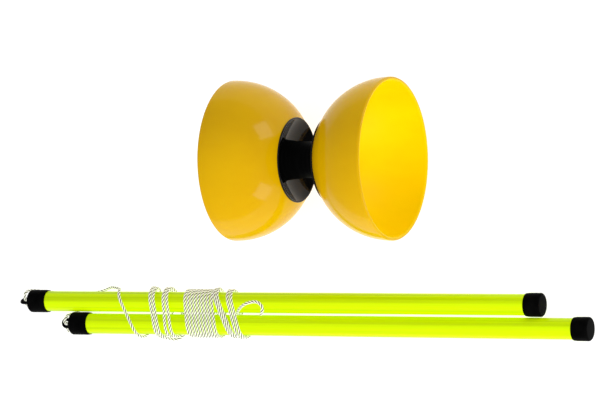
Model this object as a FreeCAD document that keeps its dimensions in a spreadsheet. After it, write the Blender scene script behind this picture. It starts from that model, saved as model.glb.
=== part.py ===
"""Bearing diabolo lying beside its pair of handsticks, with the string wound round both sticks.

Frame: millimetres, +Z up, the floor is z = 0 and the origin is on it, under the middle of the set.
The spool's axis and both sticks run along X.  Driving sizes are in the sheet "Sizes"; each piece is
an object of the document whose sizes and place are bound to that sheet.
"""

import FreeCAD, Part
import math
import os

import Sketcher
from FreeCAD import Placement, Rotation, Vector

SIZES = {
    # spool: a pair of cups on hubs
    "spool_length": 126.0,
    "cup_rad": 57.5,
    "cup_curve": 55.3,
    "cup_wall": 2.8,
    "cup_end": 13.6,
    "cup_end_rim": 28.4,
    "floor_back": 23.3,
    "floor_back_rad": 17.0,
    "floor_thick": 2.4,
    "floor_rim": 17.8,
    "bowl_foot": 18.0,
    "bowl_foot_rad": 28.6,
    "hub_lip": 12.4,
    "hub_lip_rad": 30.3,
    "hub_face": 20.3,
    "hub_face_rad": 14.6,
    "hub_lip_thick": 1.0,
    "hub_lip_round": 0.4,
    "hub_dish": 40.0,
    "plate_rad": 14.0,
    "plate_thick": 1.5,
    "nut_long": 4.5,
    "nut_corner": 7.5,
    "nut_chamfer": 0.7,
    # axle, drum and the two bearings
    "axle_half": 33.0,
    "axle_rad": 4.0,
    "axle_chamfer": 0.6,
    "thread_pitch": 1.25,
    "thread_deep": 0.5,
    "drum_half": 20.0,
    "drum_end_rad": 14.4,
    "drum_curve": 134.0,
    "drum_shoulder": 9.6,
    "bearing_near": 9.0,
    "bearing_wide": 7.0,
    "bearing_rad": 11.0,
    "race_land": 1.7,
    "pitch_rad": 7.5,
    "ball_rad": 1.95,
    "groove_rad": 2.1,
    "pocket_rad": 2.05,
    "cage_half_thick": 0.5,
    "cage_half_wide": 2.3,
    "shield_inset": 0.15,
    "shield_thick": 0.3,
    "shield_bore": 6.1,
    "spacer_rad": 5.6,
    # handsticks
    "stick_length": 418.0,
    "stick_shift": 36.0,
    "stick_apart": 16.5,
    "tube_rad": 7.6,
    "tube_wall": 1.0,
    "cap_rad": 8.5,
    "cap_wall": 2.5,
    "cap_round": 1.2,
    "cap_lip_round": 0.4,
    "tip_cap_long": 15.5,
    "butt_cap_long": 12.3,
    "eye_long": 9.5,
    "eye_wire": 1.2,
    "eye_bend": 2.65,
    "eye_hole": 5.5,
    # string
    "cord_rad": 1.1,
    "cord_play": 0.05,
    "knot_rad": 2.2,
    "loose_from": -145.5,
    "main_from": -88.5,
    "end_from": -61.0,
    "end_to": -37.5,
    # how the set lies: the spool's middle, ahead of the middle of the sticks
    "spool_x": 41.0,
    "spool_ahead": 111.2,
}
BALLS = 7
THREAD_RINGS = 4
SPOOL_Y = "(Sizes.spool_ahead - Sizes.cup_rad + Sizes.stick_apart / 2 + Sizes.cap_rad) / 2"
STICKS_Y = f"({SPOOL_Y} - Sizes.spool_ahead)"
STICK_Z = "(Sizes.tube_rad + 2 * Sizes.cord_rad + Sizes.cord_play)"
HALF_SET = "(Sizes.stick_length + Sizes.stick_shift + Sizes.eye_long) / 2"
FACE_X = {"rear": f"(Sizes.eye_long - {HALF_SET})",
          "front": f"(Sizes.eye_long + Sizes.stick_shift - {HALF_SET})"}
STICK_Y = {"rear": f"({STICKS_Y} + Sizes.stick_apart / 2)",
           "front": f"({STICKS_Y} - Sizes.stick_apart / 2)"}

doc = FreeCAD.newDocument("Diabolo")
sheet = doc.addObject("Spreadsheet::Sheet", "Sizes")
for row, (alias, number) in enumerate(SIZES.items(), start=1):
    sheet.set(f"A{row}", alias)
    sheet.set(f"B{row}", str(number))
    sheet.setAlias(f"B{row}", alias)
doc.recompute()
nodes = []


# ---------------------------------------------------------------- helpers

def value(expression):
    """The number that an expression on the sheet has now."""
    return float(sheet.evalExpression(expression))


def place(thing, x="0", y="0", z="0", axis=None, angle=0.0):
    """Bind where a piece stands to the sheet, after turning it about one axis."""
    if axis is not None:
        thing.Placement = Placement(Vector(0, 0, 0), Rotation(Vector(*axis), angle))
    for letter, expression in zip("xyz", (x, y, z)):
        thing.setExpression(f"Placement.Base.{letter}", expression)
    return thing


def keep(thing, label):
    """Name a finished piece and put it on the list that is written out."""
    thing.Label = label
    nodes.append(thing)
    return thing


def new_body(label):
    body = doc.addObject("PartDesign::Body", label)
    return keep(body, label)


def new_sketch(body, plane_role, label):
    """A sketch on one of the body's own origin planes."""
    sketch = body.newObject("Sketcher::SketchObject", label)
    plane = next(item for item in body.Origin.OriginFeatures if item.Role == plane_role)
    sketch.AttachmentSupport = (plane, [""])
    sketch.MapMode = "FlatFace"
    return sketch


def bind(sketch, constraint, expression):
    index = sketch.addConstraint(constraint)
    sketch.setExpression(f"Constraints[{index}]", expression)


def arc_between(start, end, radius, side):
    """A circular arc from start to end; side 1 has its centre on the left of the way, -1 right."""
    middle = (start + end) * 0.5
    half = (end - start) * 0.5
    rise = math.sqrt(max(radius ** 2 - half.Length ** 2, 0.0))
    left = Vector(-half.y, half.x, 0).normalize()
    centre = middle + left * rise * side
    first, last = (start, end) if side > 0 else (end, start)
    angles = [math.atan2(point.y - centre.y, point.x - centre.x) for point in (first, last)]
    return Part.ArcOfCircle(Part.Circle(centre, Vector(0, 0, 1), radius), *angles)


def outline(sketch, corners, arcs=None, half_rounds=()):
    """Draw a closed outline through corners given as pairs of expressions.

    arcs maps the number of a side to (radius expression, side of its centre).  An arc whose
    radius is in half_rounds is a half circle, held by a centre level with its two ends.
    """
    arcs = arcs or {}
    points = [Vector(value(across), value(up), 0) for across, up in corners]
    ends = []
    for number, start in enumerate(points):
        end = points[(number + 1) % len(points)]
        if number in arcs:
            radius, side = arcs[number]
            index = sketch.addGeometry(arc_between(start, end, value(radius), side))
            ends.append((index, 1, 2) if side > 0 else (index, 2, 1))
        else:
            index = sketch.addGeometry(Part.LineSegment(start, end))
            ends.append((index, 1, 2))
    for number, (index, start_end, _) in enumerate(ends):
        before, _, before_end = ends[number - 1]
        sketch.addConstraint(Sketcher.Constraint("Coincident", before, before_end, index, start_end))
        for kind, expression, now in (("DistanceX", corners[number][0], points[number].x),
                                      ("DistanceY", corners[number][1], points[number].y)):
            bind(sketch, Sketcher.Constraint(kind, -1, 1, index, start_end, now), expression)
        if number in arcs and arcs[number][0] in half_rounds:
            across = corners[number][0]
            bind(sketch, Sketcher.Constraint("DistanceX", -1, 1, index, 3, value(across)), across)
        elif number in arcs:
            radius = arcs[number][0]
            bind(sketch, Sketcher.Constraint("Radius", index, value(radius)), radius)


def turned(label, corners, arcs=None):
    """A piece turned about the X axis from an outline of (along, radius) corners."""
    body = new_body(label)
    sketch = new_sketch(body, "XY_Plane", label + "_outline")
    outline(sketch, corners, arcs)
    turn = body.newObject("PartDesign::Revolution", label + "_turn")
    turn.Profile = sketch
    turn.ReferenceAxis = (sketch, ["H_Axis"])
    turn.Angle = 360.0
    body.Tip = turn
    return body


def ring(label, near, far, bore, outer):
    """A plain turned ring between two places along X."""
    return turned(label, [(near, bore), (far, bore), (far, outer), (near, outer)])


def on_spool(thing, side):
    """Put a piece on the spool's axis; the left one faces the other way."""
    turn = 0.0 if side == "right" else 180.0
    return place(thing, "Sizes.spool_x", SPOOL_Y, "Sizes.cup_rad", (0, 0, 1), turn)


def on_stick(thing, stick, roll=0.0):
    """Put a piece on a stick's axis, counted from the flat face of its tip cap."""
    return place(thing, FACE_X[stick], STICK_Y[stick], STICK_Z, (1, 0, 0), roll)


# ---------------------------------------------------------------- spool

def cup(side):
    """Soft bowl: a spherical wall, a rounded rim and a floor that follows the back of the hub."""
    rim_x = "(Sizes.spool_length / 2 - Sizes.cup_wall / 2)"
    centre = "(Sizes.cup_rad - Sizes.cup_curve)"
    inner = "(Sizes.cup_curve - Sizes.cup_wall)"
    floor = "(Sizes.floor_back + Sizes.floor_thick)"
    end_rad = f"{centre} + sqrt(pow(Sizes.cup_curve; 2) - pow({rim_x} - Sizes.cup_end; 2))"
    foot_rad = f"{centre} + sqrt(pow({inner}; 2) - pow({rim_x} - Sizes.bowl_foot; 2))"
    corners = [
        ("Sizes.cup_end", end_rad),
        (rim_x, "Sizes.cup_rad"),
        (rim_x, "Sizes.cup_rad - Sizes.cup_wall"),
        ("Sizes.bowl_foot", foot_rad),
        ("Sizes.bowl_foot", "Sizes.bowl_foot_rad"),
        (floor, "Sizes.floor_rim"),
        (floor, "Sizes.axle_rad"),
        ("Sizes.floor_back", "Sizes.axle_rad"),
        ("Sizes.floor_back", "Sizes.floor_back_rad"),
        ("Sizes.cup_end", "Sizes.cup_end_rim"),
    ]
    arcs = {0: ("Sizes.cup_curve", -1), 1: ("Sizes.cup_wall / 2", -1), 2: (inner, 1)}
    on_spool(turned(f"{side}_cup", corners, arcs), side)


def hub(side):
    """Dished flange that carries a cup: a flat face, a hollow flank and a thin lip round the cup."""
    corners = [
        ("Sizes.hub_face", "Sizes.axle_rad"),
        ("Sizes.hub_face", "Sizes.hub_face_rad"),
        ("Sizes.hub_lip", "Sizes.hub_lip_rad - Sizes.hub_lip_thick"),
        ("Sizes.hub_lip", "Sizes.hub_lip_rad - Sizes.hub_lip_round"),
        ("Sizes.hub_lip + Sizes.hub_lip_round", "Sizes.hub_lip_rad"),
        ("Sizes.cup_end", "Sizes.hub_lip_rad"),
        ("Sizes.cup_end", "Sizes.cup_end_rim"),
        ("Sizes.floor_back", "Sizes.floor_back_rad"),
        ("Sizes.floor_back", "Sizes.axle_rad"),
    ]
    arcs = {1: ("Sizes.hub_dish", 1), 3: ("Sizes.hub_lip_round", -1)}
    on_spool(turned(f"{side}_hub", corners, arcs), side)


def clamp_plate(side):
    """Large plain washer that presses the cup's floor against the hub."""
    near = "Sizes.floor_back + Sizes.floor_thick"
    plate = ring(f"{side}_clamp_plate", near, f"{near} + Sizes.plate_thick", "Sizes.axle_rad",
                 "Sizes.plate_rad")
    on_spool(plate, side)


def lock_nut(side):
    """Thin hexagon nut with its outer corners turned off."""
    label = f"{side}_lock_nut"
    near = "(Sizes.floor_back + Sizes.floor_thick + Sizes.plate_thick)"
    body = new_body(label)
    hexagon = new_sketch(body, "YZ_Plane", label + "_hexagon")
    turn = math.tau / 6
    corners = [(f"Sizes.nut_corner * {math.cos(turn * step):.6f}",
                f"Sizes.nut_corner * {math.sin(turn * step):.6f}") for step in range(6)]
    outline(hexagon, corners)
    hexagon.setExpression(".AttachmentOffset.Base.z", near)
    bore = hexagon.addGeometry(Part.Circle(Vector(0, 0, 0), Vector(0, 0, 1), value("Sizes.axle_rad")))
    hexagon.addConstraint(Sketcher.Constraint("Coincident", bore, 3, -1, 1))
    bind(hexagon, Sketcher.Constraint("Radius", bore, value("Sizes.axle_rad")), "Sizes.axle_rad")
    pad = body.newObject("PartDesign::Pad", label + "_pad")
    pad.Profile = hexagon
    pad.setExpression("Length", "Sizes.nut_long")
    doc.recompute()
    far = f"({near} + Sizes.nut_long)"
    corner = new_sketch(body, "XY_Plane", label + "_corner")
    outline(corner, [(far, "Sizes.nut_corner - 2 * Sizes.nut_chamfer"),
                     (f"{far} + Sizes.nut_chamfer", "Sizes.nut_corner - 2 * Sizes.nut_chamfer"),
                     (f"{far} + Sizes.nut_chamfer", "Sizes.nut_corner + Sizes.nut_chamfer"),
                     (f"{far} - Sizes.nut_chamfer", "Sizes.nut_corner + Sizes.nut_chamfer"),
                     (f"{far} - Sizes.nut_chamfer", "Sizes.nut_corner")])
    groove = body.newObject("PartDesign::Groove", label + "_chamfer")
    groove.Profile = corner
    groove.ReferenceAxis = (corner, ["H_Axis"])
    groove.Angle = 360.0
    body.Tip = groove
    on_spool(body, side)


def axle():
    """Round rod with chamfered ends and a few rings of thread under each nut."""
    half = "Sizes.axle_half"
    cut = "Sizes.axle_chamfer"
    body = turned("axle", [
        (f"-{half}", "0"), (half, "0"), (half, f"Sizes.axle_rad - {cut}"),
        (f"{half} - {cut}", "Sizes.axle_rad"), (f"{cut} - {half}", "Sizes.axle_rad"),
        (f"-{half}", f"Sizes.axle_rad - {cut}")])
    doc.recompute()
    notch = new_sketch(body, "XY_Plane", "axle_thread_notch")
    first = f"({half} - Sizes.thread_pitch)"
    reach = "Sizes.thread_deep"
    outline(notch, [(f"{first} - {reach}", f"Sizes.axle_rad + {reach} / 10"),
                    (first, f"Sizes.axle_rad - {reach}"),
                    (f"{first} + {reach}", f"Sizes.axle_rad + {reach} / 10")])
    groove = body.newObject("PartDesign::Groove", "axle_thread_ring")
    groove.Profile = notch
    groove.ReferenceAxis = (notch, ["H_Axis"])
    groove.Angle = 360.0
    body.Tip = groove
    doc.recompute()
    rings = body.newObject("PartDesign::LinearPattern", "axle_thread")
    rings.Originals = [groove]
    rings.Direction = (notch, ["H_Axis"])
    rings.Reversed = True
    rings.setExpression("Length", f"Sizes.thread_pitch * {THREAD_RINGS - 1}")
    rings.Occurrences = THREAD_RINGS
    body.Tip = rings
    on_spool(body, "right")


def axle_drum():
    """Waisted sleeve that the string runs on, bored from both ends for the bearings."""
    half = "Sizes.drum_half"
    near = "Sizes.bearing_near"
    corners = [
        (f"-{half}", "Sizes.drum_end_rad"), (half, "Sizes.drum_end_rad"),
        (half, "Sizes.bearing_rad"), (near, "Sizes.bearing_rad"),
        (near, "Sizes.drum_shoulder"), (f"-{near}", "Sizes.drum_shoulder"),
        (f"-{near}", "Sizes.bearing_rad"), (f"-{half}", "Sizes.bearing_rad"),
    ]
    on_spool(turned("axle_drum", corners, {0: ("Sizes.drum_curve", 1)}), "right")


def bearing_rings(side):
    """The two grooved races of one bearing."""
    near = "Sizes.bearing_near"
    far = f"({near} + Sizes.bearing_wide)"
    middle = f"({near} + Sizes.bearing_wide / 2)"
    chord = "sqrt(pow(Sizes.groove_rad; 2) - pow(Sizes.race_land; 2))"
    for label, face, back, bulge in (
            (f"{side}_outer_race", "(Sizes.pitch_rad + Sizes.race_land)", "Sizes.bearing_rad", -1),
            (f"{side}_inner_race", "(Sizes.pitch_rad - Sizes.race_land)", "Sizes.axle_rad", 1)):
        corners = [(near, face), (f"{middle} - {chord}", face), (f"{middle} + {chord}", face),
                   (far, face), (far, back), (near, back)]
        on_spool(turned(label, corners, {1: ("Sizes.groove_rad", bulge)}), side)


def sphere_circle(label, radius):
    """Spheres evenly round a bearing's pitch circle, as one group."""
    spheres = []
    for number in range(BALLS):
        turn = math.tau * number / BALLS
        ball = doc.addObject("Part::Sphere", f"{label}_{number + 1}")
        ball.setExpression("Radius", radius)
        spheres.append(place(ball, "Sizes.bearing_near + Sizes.bearing_wide / 2",
                             f"Sizes.pitch_rad * {math.cos(turn):.6f}",
                             f"Sizes.pitch_rad * {math.sin(turn):.6f}"))
    group = doc.addObject("Part::Compound", label)
    group.Links = spheres
    return group


def ball_set(side):
    """The balls of one bearing and the ring that keeps them apart."""
    on_spool(keep(sphere_circle(f"{side}_balls", "Sizes.ball_rad"), f"{side}_balls"), side)
    blank = []
    for name, radius in (("outer", "Sizes.pitch_rad + Sizes.cage_half_thick"),
                         ("bore", "Sizes.pitch_rad - Sizes.cage_half_thick")):
        drum = doc.addObject("Part::Cylinder", f"{side}_cage_{name}")
        drum.setExpression("Radius", radius)
        drum.setExpression("Height", "2 * Sizes.cage_half_wide")
        place(drum, "Sizes.bearing_near + Sizes.bearing_wide / 2 - Sizes.cage_half_wide",
              axis=(0, 1, 0), angle=90.0)
        blank.append(drum)
    band = doc.addObject("Part::Cut", f"{side}_cage_band")
    band.Base, band.Tool = blank
    cage = doc.addObject("Part::Cut", f"{side}_ball_cage")
    cage.Base = band
    cage.Tool = sphere_circle(f"{side}_cage_pockets", "Sizes.pocket_rad")
    on_spool(keep(cage, f"{side}_ball_cage"), side)


def bearing_shields(side):
    """The two thin dust shields held by the outer race."""
    outer = "Sizes.pitch_rad + Sizes.race_land"
    near = "Sizes.bearing_near + Sizes.shield_inset"
    far = "Sizes.bearing_near + Sizes.bearing_wide - Sizes.shield_inset - Sizes.shield_thick"
    discs = []
    for number, start in enumerate((near, far), start=1):
        disc = []
        for name, radius in (("outer", outer), ("bore", "Sizes.shield_bore")):
            drum = doc.addObject("Part::Cylinder", f"{side}_shield_{number}_{name}")
            drum.setExpression("Radius", radius)
            drum.setExpression("Height", "Sizes.shield_thick")
            disc.append(place(drum, start, axis=(0, 1, 0), angle=90.0))
        plate = doc.addObject("Part::Cut", f"{side}_shield_{number}")
        plate.Base, plate.Tool = disc
        discs.append(plate)
    pair = doc.addObject("Part::Compound", f"{side}_bearing_shields")
    pair.Links = discs
    on_spool(keep(pair, f"{side}_bearing_shields"), side)


def spacers():
    """The sleeves on the axle: one between the bearings and one from each bearing to its hub."""
    near = "Sizes.bearing_near"
    middle = ring("bearing_spacer", f"-{near}", near, "Sizes.axle_rad", "Sizes.spacer_rad")
    on_spool(middle, "right")
    for side in ("left", "right"):
        sleeve = ring(f"{side}_spacer", f"{near} + Sizes.bearing_wide", "Sizes.hub_face",
                      "Sizes.axle_rad", "Sizes.spacer_rad")
        on_spool(sleeve, side)


# ---------------------------------------------------------------- handsticks

def stick_tube(stick):
    """Thin-walled tube between the end walls of its two caps."""
    tube = ring(f"{stick}_stick_tube", "Sizes.cap_wall", "Sizes.stick_length - Sizes.cap_wall",
                "Sizes.tube_rad - Sizes.tube_wall", "Sizes.tube_rad")
    on_stick(tube, stick)


def cap_outline(far):
    """Outline of a cap whose closed end is at 0 and whose open end is at far."""
    soft = "Sizes.cap_round"
    lip = "Sizes.cap_lip_round"
    corners = [
        ("0", "0"), ("Sizes.cap_wall", "0"), ("Sizes.cap_wall", "Sizes.tube_rad"),
        (far, "Sizes.tube_rad"), (far, f"Sizes.cap_rad - {lip}"), (f"{far} - {lip}", "Sizes.cap_rad"),
        (soft, "Sizes.cap_rad"), ("0", f"Sizes.cap_rad - {soft}")]
    return corners, {4: (lip, 1), 6: (soft, 1)}


def tip_cap(stick, roll):
    """Cap on the string end, drilled for the two legs of its eye."""
    label = f"{stick}_tip_cap"
    body = turned(label, *cap_outline("Sizes.tip_cap_long"))
    doc.recompute()
    holes = new_sketch(body, "YZ_Plane", label + "_leg_holes")
    for side in ("-", ""):
        centre = Vector(value(f"{side}Sizes.eye_bend"), 0, 0)
        hole = holes.addGeometry(Part.Circle(centre, Vector(0, 0, 1), value("Sizes.eye_wire")))
        bind(holes, Sketcher.Constraint("DistanceX", -1, 1, hole, 3, centre.x), f"{side}Sizes.eye_bend")
        holes.addConstraint(Sketcher.Constraint("PointOnObject", hole, 3, -1))
        bind(holes, Sketcher.Constraint("Radius", hole, value("Sizes.eye_wire")), "Sizes.eye_wire")
    pocket = body.newObject("PartDesign::Pocket", label + "_drilling")
    pocket.Profile = holes
    pocket.Midplane = True
    pocket.setExpression("Length", "4 * Sizes.cap_wall")
    body.Tip = pocket
    on_stick(body, stick, roll)


def string_eye(stick, roll):
    """Round-wire loop that stands out of a tip cap for the string to pass through."""
    label = f"{stick}_string_eye"
    leg = "(Sizes.eye_long - Sizes.eye_bend - Sizes.eye_wire)"
    bend = doc.addObject("Part::Torus", f"{label}_bend")
    bend.Angle3 = 180.0
    bend.setExpression("Radius1", "Sizes.eye_bend")
    bend.setExpression("Radius2", "Sizes.eye_wire")
    place(bend, f"-{leg}", axis=(0, 0, 1), angle=90.0)
    pieces = [bend]
    for name, side in (("low", "-"), ("high", "")):
        wire = doc.addObject("Part::Cylinder", f"{label}_{name}_leg")
        wire.setExpression("Radius", "Sizes.eye_wire")
        wire.setExpression("Height", f"{leg} + Sizes.cap_wall")
        pieces.append(place(wire, f"-{leg}", f"{side}Sizes.eye_bend", axis=(0, 1, 0), angle=90.0))
    loop = doc.addObject("Part::MultiFuse", label)
    loop.Shapes = pieces
    on_stick(keep(loop, label), stick, roll)


def butt_cap(stick):
    """Plain cap on the other end, turned to face the tip cap."""
    body = turned(f"{stick}_butt_cap", *cap_outline("Sizes.butt_cap_long"))
    place(body, f"{FACE_X[stick]} + Sizes.stick_length", STICK_Y[stick], STICK_Z, (0, 0, 1), 180.0)


# ---------------------------------------------------------------- string

def stadium(sketch, radius):
    """The outline round both sticks at a distance from their axes, in (along Y, along Z)."""
    half = "Sizes.stick_apart / 2"
    corners = [(f"-{half}", f"-{radius}"), (half, f"-{radius}"), (half, radius), (f"-{half}", radius)]
    outline(sketch, corners, {1: (radius, 1), 3: (radius, 1)}, half_rounds=(radius,))


def winding(label, near, far):
    """Outer shape of a group of turns: a flat sleeve round both sticks, as thick as the cord."""
    body = new_body(label)
    section = new_sketch(body, "YZ_Plane", label + "_section")
    stadium(section, "(Sizes.tube_rad + 2 * Sizes.cord_rad)")
    stadium(section, "Sizes.tube_rad")
    pad = body.newObject("PartDesign::Pad", label + "_pad")
    pad.Profile = section
    pad.setExpression("Length", f"{far} - {near}")
    body.Tip = pad
    place(body, near, STICKS_Y, STICK_Z)


def cord_tube(label, route):
    """A round cord along straight runs joined by arcs as large as the two runs allow."""
    points = [Vector(*point) for point in route]
    edges, radii, start = [], [], points[0]
    for before, corner, after in zip(points, points[1:], points[2:]):
        run_in, run_out = corner - before, after - corner
        turn = run_in.getAngle(run_out)
        cut = 0.45 * min(run_in.Length, run_out.Length)
        inward, outward = Vector(run_in).normalize(), Vector(run_out).normalize()
        first, last = corner - inward * cut, corner + outward * cut
        radius = cut / math.tan(turn / 2)
        radii.append(radius)
        bisector = (outward - inward).normalize()
        middle = corner + bisector * (radius / math.cos(turn / 2) - radius)
        edges.append(Part.LineSegment(start, first).toShape())
        edges.append(Part.Arc(first, middle, last).toShape())
        start = last
    edges.append(Part.LineSegment(start, points[-1]).toShape())
    path = Part.Wire(edges)
    radius = value("Sizes.cord_rad")
    section = Part.Wire(Part.Circle(points[0], points[1] - points[0], radius).toShape())
    tube = Part.Solid(path.makePipeShell([section], True, False))
    expected = math.pi * radius ** 2 * path.Length
    print(f"{label}: length {path.Length:.1f}, volume {tube.Volume / expected:.4f} of expected, "
          f"smallest radius {min(radii):.1f}, radii {[round(item, 1) for item in radii]}")
    piece = doc.addObject("Part::Feature", label)
    piece.Shape = tube
    keep(piece, label)


def knot(stick, x, y, z):
    """Outer shape of the knot that stops one end of the string."""
    label = f"{stick}_string_knot"
    ball = doc.addObject("Part::Sphere", label)
    ball.setExpression("Radius", "Sizes.knot_rad")
    place(keep(ball, label), x, y, z)


def string():
    """Both leads, the three groups of turns, the bight that ends the winding and the two knots."""
    rear_y, front_y, axis_z = (value(item) for item in (STICK_Y["rear"], STICK_Y["front"], STICK_Z))
    middle_y = value(STICKS_Y)
    rear_x, front_x = value(FACE_X["rear"]), value(FACE_X["front"])
    top = axis_z + value("Sizes.tube_rad + Sizes.cord_rad")
    low = value("Sizes.cord_rad + Sizes.cord_play / 2")
    hole = value("Sizes.eye_hole")
    winding("loose_turns", "Sizes.loose_from", "Sizes.main_from")
    winding("main_winding", "Sizes.main_from", "Sizes.end_from")
    winding("end_turns", "Sizes.end_from", "Sizes.end_to")
    knot("rear", f"{FACE_X['rear']} - Sizes.eye_hole", f"{STICK_Y['rear']} - Sizes.knot_rad",
         f"{STICK_Z} - 2.5 * Sizes.eye_wire")
    knot("front", f"{FACE_X['front']} - Sizes.eye_hole", f"{STICK_Y['front']} - 2 * Sizes.knot_rad",
         f"{STICK_Z} - 2.5 * Sizes.eye_wire")
    cord_tube("rear_string_lead", [
        (rear_x - hole, rear_y - 2.3, axis_z - 1.6),
        (rear_x - hole, rear_y + 2.8, axis_z + 1.6),
        (rear_x - 4.0, rear_y + 7.4, axis_z + 2.0),
        (rear_x - 1.6, rear_y + 7.9, axis_z - 4.0),
        (rear_x + 4.0, rear_y + 7.3, low),
        (rear_x + 24.0, rear_y + 5.8, low),
        (rear_x + 44.0, rear_y + 5.2, low),
        (rear_x + 58.0, rear_y + 7.6, low + 0.5),
        (rear_x + 66.0, rear_y + 10.6, low + 3.0),
        (rear_x + 71.2, rear_y + 10.4, axis_z - 2.6),
        (value("Sizes.loose_from"), rear_y + 8.8, axis_z + 1.0),
    ])
    cord_tube("front_string_lead", [
        (front_x - hole, front_y - 4.0, axis_z - 3.2),
        (front_x - hole, front_y, axis_z - 3.3),
        (front_x - hole, front_y, axis_z + 4.2),
        (front_x - 3.6, front_y + 6.2, axis_z + 3.0),
        (front_x - 1.6, front_y + 6.8, axis_z - 4.4),
        (front_x + 4.5, front_y + 11.8, low),
        (front_x + 17.0, front_y + 14.6, low),
        (value("Sizes.loose_from"), front_y + 19.0, low),
    ])
    end_x = value("Sizes.end_to")
    cord_tube("end_bight", [
        (end_x, middle_y + 3.0, top),
        (end_x + 5.0, middle_y + 8.0, top + 0.1),
        (end_x + 12.0, middle_y + 9.4, top + 0.1),
        (end_x + 17.4, middle_y + 5.4, top + 0.1),
        (end_x + 15.4, middle_y + 0.4, axis_z + 5.4),
        (end_x + 8.0, middle_y, axis_z + 3.6),
        (end_x, middle_y, axis_z + 3.6),
    ])


# ---------------------------------------------------------------- build and write

def build():
    axle()
    axle_drum()
    spacers()
    for side in ("left", "right"):
        cup(side)
        hub(side)
        clamp_plate(side)
        lock_nut(side)
        bearing_rings(side)
        ball_set(side)
        bearing_shields(side)
    for stick, roll in (("rear", -60.0), ("front", 0.0)):
        stick_tube(stick)
        tip_cap(stick, roll)
        string_eye(stick, roll)
        butt_cap(stick)
    string()
    doc.recompute()


def write():
    """Stop at the first faulty object, then write every piece to its own file."""
    for thing in doc.Objects:
        if {"Invalid", "Error"} & set(thing.State):
            raise RuntimeError(f"{thing.Label} failed: {thing.State}")
    os.makedirs("parts", exist_ok=True)
    for piece in nodes:
        shape = piece.Shape
        if shape.isNull() or not shape.isValid() or not shape.Solids:
            raise RuntimeError(f"{piece.Label} has no sound solid")
        shape.exportStep(f"parts/{piece.Label}.step")
        box = shape.BoundBox
        print(f"{piece.Label}: {len(shape.Solids)} solid(s), volume {shape.Volume:.1f}, "
              f"x {box.XMin:.1f}..{box.XMax:.1f}, y {box.YMin:.1f}..{box.YMax:.1f}, "
              f"z {box.ZMin:.2f}..{box.ZMax:.2f}")


build()
write()
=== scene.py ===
"""Looks of a bearing diabolo set: the two-cup spool, its pair of handsticks and the wound string.

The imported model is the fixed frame.  Each sub-assembly is a class that reads where its pieces lie
from that frame, builds their meshes in metres and dresses them in procedural finishes.
"""

import logging
import math
from collections.abc import Callable, Iterable, Sequence
from dataclasses import dataclass, field
from enum import Enum

import bmesh
import bpy
from mathutils import Matrix, Vector


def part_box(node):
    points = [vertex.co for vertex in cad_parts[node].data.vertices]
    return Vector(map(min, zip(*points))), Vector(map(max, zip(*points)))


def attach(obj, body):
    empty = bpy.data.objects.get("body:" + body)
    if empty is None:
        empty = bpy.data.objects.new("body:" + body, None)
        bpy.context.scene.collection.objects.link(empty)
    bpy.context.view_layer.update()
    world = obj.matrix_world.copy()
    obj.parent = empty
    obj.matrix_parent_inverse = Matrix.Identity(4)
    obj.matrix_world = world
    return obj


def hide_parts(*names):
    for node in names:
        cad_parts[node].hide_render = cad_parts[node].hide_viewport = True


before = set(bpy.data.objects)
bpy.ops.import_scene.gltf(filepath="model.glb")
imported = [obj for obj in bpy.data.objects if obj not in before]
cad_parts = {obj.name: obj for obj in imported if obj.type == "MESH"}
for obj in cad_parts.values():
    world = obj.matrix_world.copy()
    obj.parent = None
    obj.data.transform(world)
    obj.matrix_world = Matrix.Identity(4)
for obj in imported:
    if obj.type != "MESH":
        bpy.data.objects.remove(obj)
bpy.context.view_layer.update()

log = logging.getLogger("diabolo")
MM = 0.001
Outline = list[tuple[float, float]]
Place = tuple[float, float, float]
Route = list[Place]
Colour = tuple[float, float, float]


# ---------------------------------------------------------------- shader building

class Sock:
    """An output of a node, used as a value in an expression."""

    def __init__(self, surface: "Surface", output: bpy.types.NodeSocket) -> None:
        """Keep the socket and the surface that its nodes belong to."""
        self.surface = surface
        self.output = output

    def _math(self, operation: str, first: "Sock | float", second: "Sock | float" = 0.0) -> "Sock":
        """One Math node on two values."""
        return self.surface.node("ShaderNodeMath", {"operation": operation}, {0: first, 1: second})

    def __add__(self, other: "Sock | float") -> "Sock":
        """self + other."""
        return self._math("ADD", self, other)

    __radd__ = __add__

    def __sub__(self, other: "Sock | float") -> "Sock":
        """self - other."""
        return self._math("SUBTRACT", self, other)

    def __rsub__(self, other: float) -> "Sock":
        """other - self."""
        return self._math("SUBTRACT", other, self)

    def __mul__(self, other: "Sock | float") -> "Sock":
        """self * other."""
        return self._math("MULTIPLY", self, other)

    __rmul__ = __mul__

    def __pow__(self, power: float) -> "Sock":
        """self to a power."""
        return self._math("POWER", self, power)

    def __abs__(self) -> "Sock":
        """Size of the value without its sign."""
        return self._math("ABSOLUTE", self)

    def step(self, low: float, high: float) -> "Sock":
        """A soft step from 0 at low to 1 at high.

        Args:
            low: The value at which the step starts.
            high: The value at which it is complete.

        Returns:
            The stepped value.
        """
        settings = {"interpolation_type": "SMOOTHSTEP"}
        return self.surface.node("ShaderNodeMapRange", settings, {0: self, 1: low, 2: high})


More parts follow.
